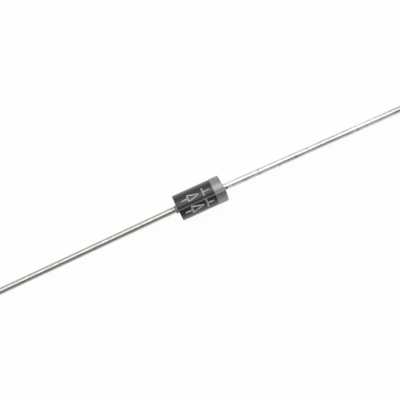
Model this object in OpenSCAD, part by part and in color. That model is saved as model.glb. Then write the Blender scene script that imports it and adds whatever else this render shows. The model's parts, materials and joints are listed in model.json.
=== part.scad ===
// Axial rectifier diode. A silicon die is soldered between the nail heads of two
// wire leads, sealed in a bead of junction coating, and moulded into an epoxy body
// by a two-part mould. A printed band marks the cathode end.
// Millimetres. X runs along the leads towards the cathode and Z is up. The origin is
// the middle of the body, on its axis. The diode lies on its side.

/* [Body] */
// Diameter of the moulded body
body_d = 3.5; // [2.9:0.05:3.6]
// Length of the moulded body at the parting line
body_l = 6.55; // [5.8:0.05:7.6]
// Radius of the rounded rim at each end
rim_r = 0.15; // [0.1:0.01:0.2]
// Draft of the end faces, away from the parting line, in degrees
end_draft = 2.5; // [1:0.5:4]
// Angle of the parting line from the top of the body towards -Y, in degrees
seam_roll = 17; // [0:1:45]

/* [Moulding marks] */
// Mismatch of the two mould halves along the leads
half_shift = 0.1; // [0.02:0.01:0.14]
// Thickness of the flash left along the parting line
flash_t = 0.05; // [0.03:0.01:0.08]
// Height of that flash above the body
flash_h = 0.03; // [0.01:0.01:0.05]
// Length of the resin collar that crept along the anode lead
collar_l = 0.3; // [0.1:0.05:0.5]
// Mean thickness of the collar around the lead
collar_t = 0.09; // [0.06:0.01:0.14]
// Sideways offset of the collar, which leaves it thicker on the -Y side
collar_offset = 0.05; // [0:0.01:0.05]

/* [Cathode band] */
// Width of the printed band, measured from the cathode end of the body
band_w = 1.4; // [0.8:0.1:1.8]
// Thickness of the ink
ink_t = 0.02; // [0.01:0.01:0.03]

/* [Leads] */
// Diameter of the lead wire
lead_d = 0.86; // [0.7:0.01:0.9]
// Length of each lead outside the body
lead_l = 27; // [8:0.5:30]
// Bend of the anode lead at its exit, towards -Y, in degrees
anode_bend = 0.58; // [0.1:0.01:2]
// Bend of the cathode lead at its exit, towards -Y, in degrees
cathode_bend = 0.55; // [0.1:0.01:2]
// Diameter of the nail head that meets the die
head_d = 1.6; // [1.4:0.05:1.7]
// Thickness of the rim of the nail head
head_t = 0.3; // [0.2:0.05:0.4]
// Length of the cone between the nail head and the wire
neck_l = 0.35; // [0.2:0.05:0.5]

/* [Die stack] */
// Width of the square die at its base
die_w = 1.2; // [1.1:0.05:1.3]
// Width of the raised mesa on the anode side of the die
mesa_w = 1; // [0.8:0.05:1]
// Thickness of the whole die
die_t = 0.26; // [0.2:0.02:0.3]
// Height of the mesa
mesa_h = 0.09; // [0.06:0.01:0.12]
// Thickness of each solder joint
solder_t = 0.05; // [0.03:0.01:0.08]
// Thickness of the junction coating over the rims of the nail heads
coat_t = 0.25; // [0.25:0.01:0.35]

/* [Hidden] */
$fn = 96;

body_r = body_d / 2;
half_l = body_l / 2;
lead_r = lead_d / 2;
head_r = head_d / 2;

// The rounded bar runs a little past the end faces, so that the draft cuts every rim.
rim_over = 0.02;
// The band is a plain ring, printed up to where the first of the end faces falls away.
band_gap = 0.02;
band_x = half_l - band_w;
band_end_x = half_l - half_shift / 2 - body_r * tan(end_draft) - band_gap;

stack_x = die_t / 2 + solder_t;
// Each lead bends just outside the collar, where the wire swells very slightly.
collar_end_x = half_l + collar_l;
bend_gap = 0.1;
bend_x = collar_end_x + bend_gap;
bend_swell = 0.002;
coat_half_l = stack_x + 0.6 * head_t;
solder_flare = 0.1;

module along_x() rotate([0, 90, 0]) children();

// ---- Body ----

// Round bar with rounded rims, on the X axis.
module bar(grow) {
    r = rim_r + grow;
    inner_r = body_r - rim_r;
    inner_l = half_l + rim_over - rim_r;
    along_x() rotate_extrude() {
        translate([0, -inner_l - r]) square([inner_r, 2 * (inner_l + r)]);
        translate([0, -inner_l]) square([inner_r + r, 2 * inner_l]);
        for (side = [-1, 1]) translate([inner_r, side * inner_l]) circle(r = r);
    }
}

// Side view of one mould half: longest at the parting plane, drafted towards its top.
module drafted_side() {
    top = body_d;
    drop = top * tan(end_draft);
    polygon([[-half_l, 0], [half_l, 0], [half_l - drop, top], [drop - half_l, top]]);
}

module mould_half(grow) intersection() {
    bar(grow);
    rotate([90, 0, 0]) linear_extrude(height = 2 * body_d, center = true) drafted_side();
}

// Thin sheet squeezed out of the parting plane all round the body.
module flash(grow) {
    r = rim_r + flash_h + grow;
    inner = [half_l - rim_r, body_r - rim_r];
    linear_extrude(height = flash_t + 2 * grow, center = true) {
        square([2 * (inner.x + r), 2 * inner.y], center = true);
        square([2 * inner.x, 2 * (inner.y + r)], center = true);
        for (sx = [-1, 1], sy = [-1, 1])
            translate([sx * inner.x, sy * inner.y]) circle(r = r);
    }
}

// Outside of the moulding. The half on the -Y side sits a little nearer the cathode.
module moulded_form(grow = 0) rotate([90 + seam_roll, 0, 0]) {
    translate([half_shift / 2, 0, 0]) mould_half(grow);
    translate([-half_shift / 2, 0, 0]) mirror([0, 0, 1]) mould_half(grow);
    flash(grow);
}

module resin_collar()
    translate([-collar_end_x, -collar_offset, 0])
        along_x() cylinder(r = lead_r + collar_t, h = 2 * collar_l);

module body() color([0.09, 0.09, 0.1]) difference() {
    union() {
        moulded_form();
        resin_collar();
    }
    lead_shaft();
    mirror([1, 0, 0]) lead_shaft();
    coating_form();
}

module cathode_band() color([0.68, 0.68, 0.68]) difference() {
    intersection() {
        moulded_form(ink_t);
        translate([band_x, -body_d, -body_d])
            cube([band_end_x - band_x, 2 * body_d, 2 * body_d]);
    }
    moulded_form();
}

// ---- Leads ----

// Nail head, neck and straight shaft, from the solder joint to the bend.
module lead_shaft()
    translate([stack_x, 0, 0]) along_x() rotate_extrude()
        polygon([
            [0, 0], [head_r, 0], [head_r, head_t], [lead_r, head_t + neck_l],
            [lead_r, bend_x - stack_x], [0, bend_x - stack_x]
        ]);

// One whole lead, running towards +X and bent towards -Y.
module lead(bend) {
    lead_shaft();
    translate([bend_x, 0, 0]) rotate([0, 0, -bend]) {
        sphere(r = lead_r + bend_swell);
        along_x() cylinder(r = lead_r, h = lead_l + half_l - bend_x);
    }
}

module anode_lead() color([0.8, 0.8, 0.78]) mirror([1, 0, 0]) lead(anode_bend);

module cathode_lead() color([0.8, 0.8, 0.78]) lead(cathode_bend);

// ---- Die stack ----

// Square slab on the X axis between two planes.
module slab(w, x0, x1) translate([x0, -w / 2, -w / 2]) cube([x1 - x0, w, w]);

module silicon_die() color([0.35, 0.36, 0.4]) {
    slab(die_w, mesa_h - die_t / 2, die_t / 2);
    slab(mesa_w, -die_t / 2, mesa_h - die_t / 2);
}

// Solder joint on the +X side of the die, flared towards the nail head.
module solder_joint(contact_w)
    translate([die_t / 2, 0, 0]) along_x()
        cylinder(r1 = contact_w / 2 - solder_flare, r2 = contact_w / 2, h = solder_t);

module anode_solder() color([0.62, 0.63, 0.65]) mirror([1, 0, 0]) solder_joint(mesa_w);

module cathode_solder() color([0.62, 0.63, 0.65]) solder_joint(die_w);

// Outside of the bead that seals the die and grips the rims of both nail heads.
module coating_form() intersection() {
    sphere(r = head_r + coat_t);
    cube([2 * coat_half_l, 2 * head_d, 2 * head_d], center = true);
}

module junction_coating() color([0.93, 0.92, 0.88]) difference() {
    coating_form();
    silicon_die();
    anode_solder();
    cathode_solder();
    lead_shaft();
    mirror([1, 0, 0]) lead_shaft();
}

body();
cathode_band();
anode_lead();
cathode_lead();
silicon_die();
anode_solder();
cathode_solder();
junction_coating();
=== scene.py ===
"""Axial rectifier diode: the looks of its moulded body, print and tinned leads.

Metres, in the CAD frame: +X runs along the leads towards the cathode, +Z is up.
"""

import json
import math

import bpy
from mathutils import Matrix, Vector, noise

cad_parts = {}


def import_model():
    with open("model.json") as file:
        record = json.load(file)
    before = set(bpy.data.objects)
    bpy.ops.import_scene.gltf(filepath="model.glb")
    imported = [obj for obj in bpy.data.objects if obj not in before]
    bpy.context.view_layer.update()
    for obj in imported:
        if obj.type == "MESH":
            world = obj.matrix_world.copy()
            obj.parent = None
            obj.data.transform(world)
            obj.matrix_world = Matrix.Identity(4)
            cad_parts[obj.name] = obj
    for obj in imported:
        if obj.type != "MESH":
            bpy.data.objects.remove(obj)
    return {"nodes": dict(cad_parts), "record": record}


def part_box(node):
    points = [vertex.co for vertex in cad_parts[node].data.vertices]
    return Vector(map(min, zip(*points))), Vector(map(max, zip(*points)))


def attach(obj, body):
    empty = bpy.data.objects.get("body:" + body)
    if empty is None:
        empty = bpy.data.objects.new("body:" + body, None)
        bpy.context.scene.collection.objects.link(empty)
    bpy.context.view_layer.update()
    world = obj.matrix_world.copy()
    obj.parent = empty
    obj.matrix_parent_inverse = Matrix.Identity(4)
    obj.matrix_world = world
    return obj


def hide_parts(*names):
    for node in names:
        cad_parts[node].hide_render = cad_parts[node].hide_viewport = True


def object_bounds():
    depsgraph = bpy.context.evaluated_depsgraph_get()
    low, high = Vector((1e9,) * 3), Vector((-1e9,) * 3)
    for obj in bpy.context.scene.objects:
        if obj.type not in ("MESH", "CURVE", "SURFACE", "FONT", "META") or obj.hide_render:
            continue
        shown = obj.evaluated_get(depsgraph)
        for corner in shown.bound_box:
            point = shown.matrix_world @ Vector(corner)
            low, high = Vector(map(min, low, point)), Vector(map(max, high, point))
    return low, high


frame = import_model()
cad_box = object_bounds()

MM = 0.001

# ---- Sizes, from the frame ----

NODES = frame["nodes"]
MOUNTS = {m["name"]: m for m in frame["record"]["mounts"]}

FLOOR_Z = cad_box[0].z
BODY_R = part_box("body")[1].z
BODY_END_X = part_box("body")[1].x
BAND_END_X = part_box("cathode_band")[1].x
HEAD_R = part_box("cathode_lead")[1].z
STACK_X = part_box("cathode_lead")[0].x
LEAD_R = MOUNTS["cathode_lead_end"]["dims"]["r_mm"] * MM

# Parting plane of the mould, in degrees from the top towards -Y
SEAM_ROLL = 17.0

# Nail head and neck, hidden inside the body
HEAD_T = 0.3 * MM
NECK_L = 0.35 * MM

# Detail of the leads: spacing of the rings, points in each, and how far the tip stays
# inside the CAD box
RING_STEP = 0.05 * MM
LEAD_POINTS = 48
TIP_GAP = 0.003 * MM

# Printed marks: rows round the body, drawn as a polarity symbol
INK_T = 0.008 * MM
STROKE = 0.22 * MM
MARK_X = (-2.5 * MM, 1.45 * MM)
MARK_W = 1.15 * MM
MARK_ROWS = 4
# Angle of the first row from the top towards +Y, and from each row to the next, in degrees
MARK_FIRST = 13.35
MARK_PITCH = 52.5
# Longest edge of a print's outline, and how far its edges sink into the body
PRINT_STEP = 0.08 * MM
PRINT_SKIRT = 0.01 * MM

# Blemishes of the dipped lead: distances from the middle of the body, then for each pit
# the way it faces and how deep it is, which also sets how dark the painted shade in it is
NICK_X = 8.25 * MM
SCRATCH_X = 9.65 * MM
PITS = [
    (3.6 * MM, 130, 0.9), (4.6 * MM, 122, 0.35), (6.3 * MM, 140, 0.3), (11.1 * MM, 135, 0.55),
    (13.4 * MM, 120, 0.4), (15.2 * MM, 60, 0.4), (19.0 * MM, 250, 0.5), (22.3 * MM, 130, 0.5),
    (25.1 * MM, 20, 0.6),
]

# Camera
AZIMUTH = -24.6
ELEVATION = 83.8
LENS = 85.0
VIEW_WIDTH = 51.5 * MM
AIM = Vector((-0.128, -0.207, 0.0)) * MM

# ---- Light ----

# Room brightness by angle from the zenith, towards -Y below zero and +Y above it
ROOM = [
    (-100, 0.8), (-84, 0.8), (-68, 0.16), (-34, 0.12), (-6, 0.3), (10, 0.55), (60, 0.6), (80, 0.5),
    (100, 0.6),
]
# Brightness of the room towards both ends of the leads
ROOM_ENDS = 0.8
SOFTBOX_AWAY = 0.4
FLOOR_HALF = 1.5
# Share of plain white in the floor as the lens sees it. The rest keeps the shadow.
FLOOR_WHITE = 0.96


# ---- Mesh helpers ----

def new_object(name, verts, faces, material):
    """A mesh piece that rides on the part's one body."""
    mesh = bpy.data.meshes.new(name)
    mesh.from_pydata([tuple(v) for v in verts], [], faces)
    mesh.validate()
    obj = bpy.data.objects.new(name, mesh)
    bpy.context.scene.collection.objects.link(obj)
    mesh.materials.append(material)
    mesh.shade_smooth()
    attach(obj, "root")
    return obj


def ring_faces(rings, around):
    """Quads between successive rings of vertices, and one face closing each end."""
    faces = []
    for i in range(rings - 1):
        for j in range(around):
            k = (j + 1) % around
            low, high = i * around, (i + 1) * around
            faces.append((low + j, high + j, high + k, low + k))
    faces.append(tuple(range(around)))
    faces.append(tuple((rings - 1) * around + j for j in reversed(range(around))))
    return faces


# ---- Material helpers ----

class Shader:
    """A thin wrapper round a material's node tree."""

    def __init__(self, name):
        self.material = bpy.data.materials.new(name)
        self.material.use_nodes = True
        self.tree = self.material.node_tree
        self.bsdf = self.tree.nodes["Principled BSDF"]
        self.coords = self.tree.nodes.new("ShaderNodeTexCoord").outputs["Object"]

    def node(self, kind, **settings):
        made = self.tree.nodes.new(kind)
        for key, value in settings.items():
            setattr(made, key, value)
        return made

    def link(self, a, b):
        self.tree.links.new(a, b)

    def noise(self, size, detail=3.0, roughness=0.5, stretch=(1, 1, 1)):
        """Noise whose features are about size metres across."""
        mapping = self.node("ShaderNodeMapping")
        mapping.inputs["Scale"].default_value = stretch
        self.link(self.coords, mapping.inputs["Vector"])
        made = self.node("ShaderNodeTexNoise")
        made.inputs["Scale"].default_value = 1.0 / size
        made.inputs["Detail"].default_value = detail
        made.inputs["Roughness"].default_value = roughness
        self.link(mapping.outputs["Vector"], made.inputs["Vector"])
        return made.outputs["Fac"]

    def ramp(self, value, stops):
        """A colour ramp from (position, grey or colour) pairs."""
        made = self.node("ShaderNodeValToRGB")
        elements = made.color_ramp.elements
        while len(elements) < len(stops):
            elements.new(1.0)
        for element, (place, colour) in zip(elements, stops):
            element.position = place
            rgb = colour if isinstance(colour, tuple) else (colour,) * 3
            element.color = (*rgb, 1.0)
        self.link(value, made.inputs["Fac"])
        return made.outputs["Color"]

    def bumps(self, *layers):
        """Chains bump nodes from (height, distance in metres) pairs."""
        last = None
        for height, distance in layers:
            made = self.node("ShaderNodeBump")
            made.inputs["Strength"].default_value = 1.0
            made.inputs["Distance"].default_value = distance
            self.link(height, made.inputs["Height"])
            if last:
                self.link(last, made.inputs["Normal"])
            last = made.outputs["Normal"]
        self.link(last, self.bsdf.inputs["Normal"])

    def split(self):
        """The point's X, Y and Z."""
        made = self.node("ShaderNodeSeparateXYZ")
        self.link(self.coords, made.inputs[0])
        return made.outputs[:3]

    def step(self, value, start, end):
        """A smooth step from 0 at start to 1 at end."""
        made = self.node("ShaderNodeMapRange", interpolation_type="SMOOTHSTEP")
        low, high = min(start, end), max(start, end)
        made.inputs["From Min"].default_value = low
        made.inputs["From Max"].default_value = high
        made.inputs["To Min"].default_value = 0.0 if start < end else 1.0
        made.inputs["To Max"].default_value = 1.0 if start < end else 0.0
        self.link(value, made.inputs["Value"])
        return made.outputs["Result"]

    def math(self, operation, a, b):
        made = self.node("ShaderNodeMath", operation=operation)
        for socket, value in zip(made.inputs, (a, b)):
            if isinstance(value, (int, float)):
                socket.default_value = value
            else:
                self.link(value, socket)
        return made.outputs["Value"]

    def off_seam(self):
        """The distance from the mould's parting plane, which leans from the top towards -Y."""
        _, y, z = self.split()
        roll = math.radians(SEAM_ROLL)
        return self.math("ADD", self.math("MULTIPLY", y, math.cos(roll)),
                         self.math("MULTIPLY", z, math.sin(roll)))

    def distance_to(self, point):
        made = self.node("ShaderNodeVectorMath", operation="DISTANCE")
        self.link(self.coords, made.inputs[0])
        made.inputs[1].default_value = point
        return made.outputs["Value"]

    def mix(self, factor, a, b):
        made = self.node("ShaderNodeMix", data_type="RGBA")
        for socket, value in zip((made.inputs["Factor"], made.inputs[6], made.inputs[7]), (factor, a, b)):
            if isinstance(value, tuple):
                socket.default_value = (*value, 1.0)
            else:
                self.link(value, socket)
        return made.outputs[2]


# ---- Materials ----

def epoxy():
    """Black moulding compound: matt from the tool, with a painted highlight along the flash, inked round
    the cathode rim.
    """
    m = Shader("epoxy_moulding")
    x, y, z = m.split()
    cloud = m.noise(0.9 * MM, detail=4)
    colour = m.ramp(cloud, [(0.3, (0.012, 0.012, 0.014)), (0.7, (0.023, 0.023, 0.025))])
    off_seam = m.math("ABSOLUTE", m.off_seam(), 0)
    seam_width_noise = m.noise(0.5 * MM, detail=4, stretch=(0.5, 1, 1))
    half_width = m.math("MULTIPLY", seam_width_noise, 0.17 * MM)
    seam_highlight = m.step(m.math("SUBTRACT", off_seam, half_width), 0.02 * MM, -0.02 * MM)
    # Painted highlight: the flash line is mixed to a pale grey in the colour, standing in for the flash's
    # reflection; noise varies its width.
    colour = m.mix(seam_highlight, colour, (0.19, 0.175, 0.175))
    collar = m.step(x, -BODY_END_X + 0.02 * MM, -BODY_END_X - 0.05 * MM)
    colour = m.mix(collar, colour, (0.3, 0.26, 0.22))
    out_from_axis = m.math("SQRT", m.math("ADD", m.math("MULTIPLY", y, y), m.math("MULTIPLY", z, z)), 0)
    ragged = m.math("MULTIPLY", m.noise(0.2 * MM), 0.1 * MM)
    rim = m.step(m.math("ADD", out_from_axis, ragged), BODY_R - 0.14 * MM, BODY_R - 0.08 * MM)
    inked = m.math("MULTIPLY", rim, m.step(x, BAND_END_X - 0.03 * MM, BAND_END_X - 0.01 * MM))
    colour = m.mix(inked, colour, (0.36, 0.36, 0.36))
    m.link(colour, m.bsdf.inputs["Base Color"])
    m.link(m.math("MULTIPLY", inked, 0.85), m.bsdf.inputs["Metallic"])
    rough = m.ramp(m.noise(0.25 * MM), [(0.3, 0.28), (0.7, 0.38)])
    m.link(m.math("ADD", rough, m.math("MULTIPLY", inked, 0.15)), m.bsdf.inputs["Roughness"])
    m.bsdf.inputs["Specular IOR Level"].default_value = 0.6
    m.bsdf.inputs["Sheen Weight"].default_value = 1.0
    m.bsdf.inputs["Sheen Roughness"].default_value = 0.36
    m.bumps((m.noise(0.05 * MM, detail=2), 0.001 * MM), (m.noise(0.5 * MM), 0.002 * MM))
    return m.material


def ink(name, thin, full):
    """Silver-grey marking ink, patchy where it was laid down thin, with a painted highlight along the
    flash.
    """
    m = Shader(name)
    patch = m.noise(0.3 * MM, detail=5, roughness=0.6)
    # Painted highlight: the ink is mixed to a pale grey along the flash, standing in for the flash's
    # reflection.
    ink_seam_highlight = m.step(m.math("ABSOLUTE", m.off_seam(), 0), 0.12 * MM, 0.04 * MM)
    colour = m.mix(ink_seam_highlight, m.ramp(patch, [(0.32, thin), (0.6, full)]), (0.6, 0.59, 0.58))
    m.link(colour, m.bsdf.inputs["Base Color"])
    m.bsdf.inputs["Metallic"].default_value = 0.85
    m.link(m.ramp(m.noise(0.15 * MM), [(0.3, 0.42), (0.7, 0.55)]), m.bsdf.inputs["Roughness"])
    m.bsdf.inputs["Sheen Weight"].default_value = 0.8
    m.bsdf.inputs["Sheen Roughness"].default_value = 0.25
    m.bumps((m.noise(0.06 * MM, detail=2), 0.003 * MM))
    return m.material


def tin(name, base, roughness, grain):
    """Tin over copper wire, with fine drawing lines along it and a little haze."""
    m = Shader(name)
    lines = m.noise(0.08 * MM, stretch=(0.04, 1, 1), detail=4)
    haze = m.noise(grain, detail=5, roughness=0.6)
    dark = tuple(0.86 * c for c in base)
    m.link(m.ramp(haze, [(0.35, dark), (0.6, base)]), m.bsdf.inputs["Base Color"])
    m.bsdf.inputs["Metallic"].default_value = 1.0
    low, high = roughness
    m.link(m.ramp(haze, [(0.3, high), (0.7, low)]), m.bsdf.inputs["Roughness"])
    m.bumps((lines, 0.0015 * MM), (haze, 0.004 * MM))
    return m.material


def on_cathode_lead(x, facing):
    """The point of the cathode lead's skin at x, facing so many degrees from +Y towards +Z."""
    mount = MOUNTS["cathode_lead_end"]
    middle, along = Vector(mount["pos_m"]), Vector(mount["axis"])
    middle += along * (x - middle.x) / along.x
    a = math.radians(facing)
    return middle + Vector((0, math.cos(a), math.sin(a))) * LEAD_R


def dipped(name):
    """Solder dip: patchy, dull where it cooled slowly and brighter between."""
    m = Shader(name)
    patch = m.noise(1.6 * MM, detail=5, roughness=0.55, stretch=(0.6, 1, 1))
    grain = m.noise(0.25 * MM, detail=4, roughness=0.6)
    both = m.math("ADD", m.math("MULTIPLY", patch, 0.7), m.math("MULTIPLY", grain, 0.3))
    colour = m.ramp(both, [(0.38, (0.6, 0.59, 0.57)), (0.5, (0.8, 0.79, 0.78)), (0.62, (0.88, 0.87, 0.86))])
    # Painted shade: each pit and both sides of the nick are darkened in the colour, where shade falls in
    # the hollow.
    for place, facing, depth in PITS + [(NICK_X, 145, 0.6), (NICK_X, 35, 0.6)]:
        pit_shade = m.step(m.distance_to(on_cathode_lead(place, facing)), 0.27 * MM, 0.07 * MM)
        colour = m.mix(m.math("MULTIPLY", pit_shade, depth), colour, (0.2, 0.185, 0.17))
    m.link(colour, m.bsdf.inputs["Base Color"])
    m.bsdf.inputs["Metallic"].default_value = 1.0
    m.link(m.ramp(both, [(0.38, 0.42), (0.62, 0.6)]), m.bsdf.inputs["Roughness"])
    m.bumps((grain, 0.002 * MM), (m.noise(0.07 * MM, detail=3), 0.0007 * MM))
    return m.material


def plain(name, dark, light, roughness, metallic=0.0):
    """A quiet finish for the pieces sealed inside the body."""
    m = Shader(name)
    m.link(m.ramp(m.noise(0.2 * MM, detail=4), [(0.3, dark), (0.7, light)]), m.bsdf.inputs["Base Color"])
    m.bsdf.inputs["Metallic"].default_value = metallic
    m.bsdf.inputs["Roughness"].default_value = roughness
    m.bumps((m.noise(0.05 * MM), 0.002 * MM))
    return m.material


def dress(node, material):
    """Puts a material on a CAD node."""
    mesh = NODES[node].data
    mesh.materials.clear()
    mesh.materials.append(material)


# ---- Leads ----

def lead_profile(length):
    """(distance along the wire, radius) of the hidden head and neck, then the open wire."""
    stations = [(0, HEAD_R), (HEAD_T, HEAD_R), (HEAD_T + NECK_L, LEAD_R)]
    start = HEAD_T + NECK_L
    count = int((length - start) / RING_STEP)
    stations += [(start + (length - start) * (i + 1) / count, LEAD_R) for i in range(count)]
    return stations


def lead(name, mount, side, relief, material):
    """One headed wire, bent at its exit to run along its mount's axis."""
    mount = MOUNTS[mount]
    along = Vector(mount["axis"])
    bend_at = Vector(mount["pos_m"])
    bend_at -= along * (bend_at.y / along.y)
    straight = abs(bend_at.x) - STACK_X
    tip = straight + (cad_box[1].x - abs(bend_at.x))
    around = LEAD_POINTS
    verts = []
    stations = lead_profile(tip - TIP_GAP)
    for distance, radius in stations:
        for j in range(around):
            angle = 2 * math.pi * j / around
            r = radius
            if distance > HEAD_T + NECK_L:
                r += relief(distance, angle)
            across = Vector((0, math.cos(angle) * r, math.sin(angle) * r))
            if distance <= straight:
                verts.append(Vector((side * (STACK_X + distance), 0, 0)) + across)
            else:
                turn = Vector((side, 0, 0)).rotation_difference(along)
                verts.append(bend_at + along * (distance - straight) + turn @ across)
    faces = ring_faces(len(stations), around)
    if side < 0:
        faces = [tuple(reversed(f)) for f in faces]
    obj = new_object(name, verts, faces, material)
    obj.data.set_sharp_from_angle(angle=math.radians(40))
    return obj


def drawn_relief(distance, angle):
    """The plated wire: almost smooth."""
    place = Vector((distance / (3 * MM), math.cos(angle), math.sin(angle)))
    return 0.003 * MM * noise.noise(place)


def bell(offset, width):
    """1 at no offset, and nearly 0 at twice the width."""
    return math.exp(-(offset / width) ** 2)


def dipped_relief(distance, angle):
    """The solder-dipped wire: low lumps that lie along it, pits, a nick and a scratch."""
    x = distance + STACK_X
    around = Vector((math.cos(angle), math.sin(angle)))
    broad = noise.noise(Vector((x / (2.2 * MM), around.x, around.y)))
    fine = noise.noise(Vector((x / (0.7 * MM) + 40, 1.6 * around.x, 1.6 * around.y)))
    height = 0.013 * MM * broad + 0.003 * MM * fine
    height -= 0.045 * MM * bell(x - NICK_X, 0.12 * MM)
    for place, facing, depth in PITS:
        turn = math.remainder(angle - math.radians(facing), 2 * math.pi)
        height -= depth * 0.05 * MM * bell(x - place, 0.13 * MM) * bell(turn, 0.35)
    drift = math.remainder(angle - math.radians(90) - 1.4 * (x - SCRATCH_X) / MM, 2 * math.pi)
    height -= 0.012 * MM * bell(drift, 0.12) * bell(x - SCRATCH_X, 0.35 * MM)
    return height


# ---- Printed marks ----

def rounded(points, offset, radius, arc=5):
    """A closed outline, offset outwards, with round corners. Points run anticlockwise."""
    count = len(points)
    loop = []
    for i, p in enumerate(points):
        before = (p - points[i - 1]).normalized()
        after = (points[(i + 1) % count] - p).normalized()
        turn = math.atan2(before.x * after.y - before.y * after.x, before.dot(after))
        inward = (after - before).normalized()
        centre = p + inward * (radius / math.cos(turn / 2))
        first = math.atan2(-before.x, before.y)
        for k in range(arc + 1):
            a = first + turn * k / arc
            loop.append(centre + Vector((math.cos(a), math.sin(a))) * (radius + offset))
    return loop


def split_long(outer, inner, step):
    """Adds points to both loops alike, so that no edge is longer than step."""
    out, inn = [], []
    for i in range(len(outer)):
        j = (i + 1) % len(outer)
        parts = max(1, math.ceil((outer[j] - outer[i]).length / step))
        for k in range(parts):
            out.append(outer[i].lerp(outer[j], k / parts))
            inn.append(inner[i].lerp(inner[j], k / parts))
    return out, inn


class Print:
    """Ink shapes drawn on the unrolled body, then wrapped on it."""

    def __init__(self):
        self.verts = []
        self.faces = []

    def wrap(self, point, centre_angle, height):
        """point is (along the body, round the body) in metres."""
        angle = centre_angle + point.y / BODY_R
        r = BODY_R + height
        return Vector((point.x, -math.sin(angle) * r, math.cos(angle) * r))

    def strip(self, outer, inner, centre_angle):
        """A closed band of ink between two loops, with edges that meet the body."""
        count = len(outer)
        base = len(self.verts)
        for loop, height in ((outer, -PRINT_SKIRT), (outer, INK_T), (inner, INK_T), (inner, -PRINT_SKIRT)):
            self.verts += [self.wrap(p, centre_angle, height) for p in loop]
        for row in range(3):
            for i in range(count):
                j = (i + 1) % count
                a = base + row * count
                self.faces.append((a + i, a + j, a + count + j, a + count + i))

    def bar(self, x0, x1, y0, y1, centre_angle):
        """A filled rectangle of ink, as a strip closed on its own middle line."""
        centre = Vector(((x0 + x1) / 2, (y0 + y1) / 2))
        corners = [Vector((x0, y0)), Vector((x1, y0)), Vector((x1, y1)), Vector((x0, y1))]
        outer = rounded(corners, 0, 0.03 * MM, arc=2)
        half = Vector((max(0, (x1 - x0 - y1 + y0) / 2), max(0, (y1 - y0 - x1 + x0) / 2)))
        inner = [Vector((min(max(p.x, centre.x - half.x), centre.x + half.x),
                         min(max(p.y, centre.y - half.y), centre.y + half.y))) for p in outer]
        outer, inner = split_long(outer, inner, PRINT_STEP)
        self.strip(outer, inner, centre_angle)


def polarity_marks(material):
    """The diode symbol, pointing at the cathode, printed in rows round the body."""
    ink_print = Print()
    x0, x1 = MARK_X
    wide = MARK_W / 2
    tri_x0 = x0 + 0.22 * (x1 - x0)
    tri_x1 = x1 - 0.26 * (x1 - x0)
    for row in range(MARK_ROWS):
        angle = math.radians(MARK_PITCH * row - MARK_FIRST)
        corners = [Vector((tri_x0, -wide)), Vector((tri_x1, 0)), Vector((tri_x0, wide))]
        outer = rounded(corners, 0, 0.12 * MM)
        inner = rounded(corners, -STROKE, 0.12 * MM)
        outer, inner = split_long(outer, inner, PRINT_STEP)
        ink_print.strip(outer, inner, angle)
        ink_print.bar(tri_x1, tri_x1 + STROKE, -wide, wide, angle)
        ink_print.bar(x0, tri_x0, -STROKE / 2, STROKE / 2, angle)
        ink_print.bar(tri_x1 + STROKE, x1, -STROKE / 2, STROKE / 2, angle)
    return new_object("polarity_marks", ink_print.verts, ink_print.faces, material)


# ---- Studio ----

def white_to_the_lens(tree, shader, white_share):
    """Mixes a shader with plain white, for rays from the camera, metal and glass only."""
    path = tree.nodes.new("ShaderNodeLightPath")
    seen = tree.nodes.new("ShaderNodeMath")
    seen.operation = "MAXIMUM"
    tree.links.new(path.outputs["Is Camera Ray"], seen.inputs[0])
    tree.links.new(path.outputs["Is Glossy Ray"], seen.inputs[1])
    also = tree.nodes.new("ShaderNodeMath")
    also.operation = "MAXIMUM"
    tree.links.new(seen.outputs[0], also.inputs[0])
    tree.links.new(path.outputs["Is Transmission Ray"], also.inputs[1])
    share = tree.nodes.new("ShaderNodeMath")
    share.operation = "MULTIPLY"
    share.inputs[1].default_value = white_share
    tree.links.new(also.outputs[0], share.inputs[0])
    white = tree.nodes.new("ShaderNodeEmission")
    white.inputs["Strength"].default_value = 1.0
    mixer = tree.nodes.new("ShaderNodeMixShader")
    tree.links.new(share.outputs[0], mixer.inputs[0])
    tree.links.new(shader, mixer.inputs[1])
    tree.links.new(white.outputs[0], mixer.inputs[2])
    return mixer.outputs[0]


def floor():
    """A white sheet that keeps a trace of the part's shadow."""
    half = FLOOR_HALF
    mesh = bpy.data.meshes.new("floor")
    z = FLOOR_Z
    corners = [(-half, -half, z), (half, -half, z), (half, half, z), (-half, half, z)]
    mesh.from_pydata(corners, [], [(0, 1, 2, 3)])
    obj = bpy.data.objects.new("floor", mesh)
    bpy.context.scene.collection.objects.link(obj)
    material = bpy.data.materials.new("white_sheet")
    material.use_nodes = True
    tree = material.node_tree
    bsdf = tree.nodes["Principled BSDF"]
    bsdf.inputs["Base Color"].default_value = (0.9, 0.9, 0.9, 1)
    bsdf.inputs["Roughness"].default_value = 1.0
    bsdf.inputs["Specular IOR Level"].default_value = 0.0
    out = tree.nodes["Material Output"]
    tree.links.new(white_to_the_lens(tree, bsdf.outputs[0], FLOOR_WHITE), out.inputs["Surface"])
    mesh.materials.append(material)


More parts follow.
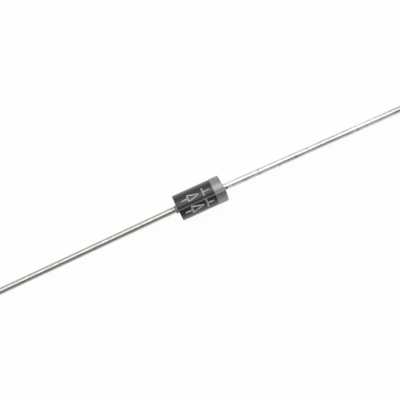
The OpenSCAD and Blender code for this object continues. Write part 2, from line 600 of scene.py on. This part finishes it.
def world():
    """A room round the bench, given by the angle across the leads, and white to the lens."""
    scene_world = bpy.data.worlds.new("studio")
    scene_world.use_nodes = True
    tree = scene_world.node_tree
    tree.nodes.clear()
    coords = tree.nodes.new("ShaderNodeTexCoord")
    split = tree.nodes.new("ShaderNodeSeparateXYZ")
    tree.links.new(coords.outputs["Generated"], split.inputs[0])
    angle = tree.nodes.new("ShaderNodeMath")
    angle.operation = "ARCTAN2"
    tree.links.new(split.outputs["Y"], angle.inputs[0])
    tree.links.new(split.outputs["Z"], angle.inputs[1])
    place = tree.nodes.new("ShaderNodeMapRange")
    place.inputs["From Min"].default_value = -math.pi
    place.inputs["From Max"].default_value = math.pi
    tree.links.new(angle.outputs[0], place.inputs["Value"])
    ramp = tree.nodes.new("ShaderNodeValToRGB")
    elements = ramp.color_ramp.elements
    while len(elements) < len(ROOM):
        elements.new(1.0)
    for element, (zenith, grey) in zip(elements, ROOM):
        element.position = (zenith + 180) / 360
        element.color = (grey, grey, grey, 1)
    tree.links.new(place.outputs[0], ramp.inputs[0])
    side = tree.nodes.new("ShaderNodeMath")
    side.operation = "ABSOLUTE"
    tree.links.new(split.outputs["X"], side.inputs[0])
    share = tree.nodes.new("ShaderNodeMapRange")
    share.interpolation_type = "SMOOTHSTEP"
    share.inputs["From Min"].default_value = 0.6
    share.inputs["From Max"].default_value = 0.95
    tree.links.new(side.outputs[0], share.inputs["Value"])
    both = tree.nodes.new("ShaderNodeMix")
    both.data_type = "RGBA"
    tree.links.new(share.outputs[0], both.inputs["Factor"])
    tree.links.new(ramp.outputs[0], both.inputs[6])
    both.inputs[7].default_value = (ROOM_ENDS, ROOM_ENDS, ROOM_ENDS, 1)
    room = tree.nodes.new("ShaderNodeBackground")
    tree.links.new(both.outputs[2], room.inputs["Color"])
    lens = tree.nodes.new("ShaderNodeBackground")
    lens.inputs["Color"].default_value = (1, 1, 1, 1)
    path = tree.nodes.new("ShaderNodeLightPath")
    mixer = tree.nodes.new("ShaderNodeMixShader")
    tree.links.new(path.outputs["Is Camera Ray"], mixer.inputs[0])
    tree.links.new(room.outputs[0], mixer.inputs[1])
    tree.links.new(lens.outputs[0], mixer.inputs[2])
    out = tree.nodes.new("ShaderNodeOutputWorld")
    tree.links.new(mixer.outputs[0], out.inputs["Surface"])
    bpy.context.scene.world = scene_world


def softbox(name, zenith, size, radiance):
    """An area light in the plane across the leads, zenith degrees from the top towards +Y."""
    data = bpy.data.lights.new(name, "AREA")
    data.shape = "RECTANGLE"
    data.size = size[0]
    data.size_y = size[1]
    data.energy = radiance * math.pi * size[0] * size[1]
    obj = bpy.data.objects.new(name, data)
    bpy.context.scene.collection.objects.link(obj)
    a = math.radians(zenith)
    back = Vector((0, math.sin(a), math.cos(a)))
    obj.location = back * SOFTBOX_AWAY
    obj.rotation_mode = "QUATERNION"
    obj.rotation_quaternion = back.to_track_quat("Z", "Y")


def camera():
    data = bpy.data.cameras.new("camera")
    data.lens = LENS
    data.sensor_width = 36.0
    a, e = math.radians(AZIMUTH), math.radians(ELEVATION)
    back = Vector((math.sin(a) * math.cos(e), -math.cos(a) * math.cos(e), math.sin(e)))
    distance = VIEW_WIDTH / 2 / (data.sensor_width / 2 / data.lens)
    obj = bpy.data.objects.new("camera", data)
    bpy.context.scene.collection.objects.link(obj)
    obj.location = AIM + back * distance
    obj.rotation_mode = "QUATERNION"
    obj.rotation_quaternion = back.to_track_quat("Z", "Y")
    data.clip_start = 0.001
    data.clip_end = 10.0
    bpy.context.scene.camera = obj


bright_tin = tin("bright_tin", (0.56, 0.55, 0.52), (0.36, 0.46), 0.6 * MM)
dipped_tin = dipped("dipped_tin")
marking_ink = ink("marking_ink", 0.3, 0.52)

dress("body", epoxy())
dress("cathode_band", ink("band_ink", 0.27, 0.36))
dress("silicon_die", plain("lapped_silicon", (0.12, 0.12, 0.15), (0.18, 0.18, 0.22), 0.25, 0.4))
dress("anode_solder", plain("soft_solder", 0.4, 0.5, 0.45, 1.0))
dress("cathode_solder", plain("soft_solder_2", 0.4, 0.5, 0.45, 1.0))
dress("junction_coating", plain("silicone_coating", (0.75, 0.73, 0.68), (0.82, 0.8, 0.76), 0.5))

anode = lead("anode_wire", "anode_lead_end", -1, drawn_relief, bright_tin)
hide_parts("anode_lead")
cathode = lead("cathode_wire", "cathode_lead_end", 1, dipped_relief, dipped_tin)
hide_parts("cathode_lead")
polarity_marks(marking_ink)

floor()
world()
softbox("key", 23, (0.45, 0.3), 2.2)
camera()
bpy.context.scene.view_settings.view_transform = "Standard"
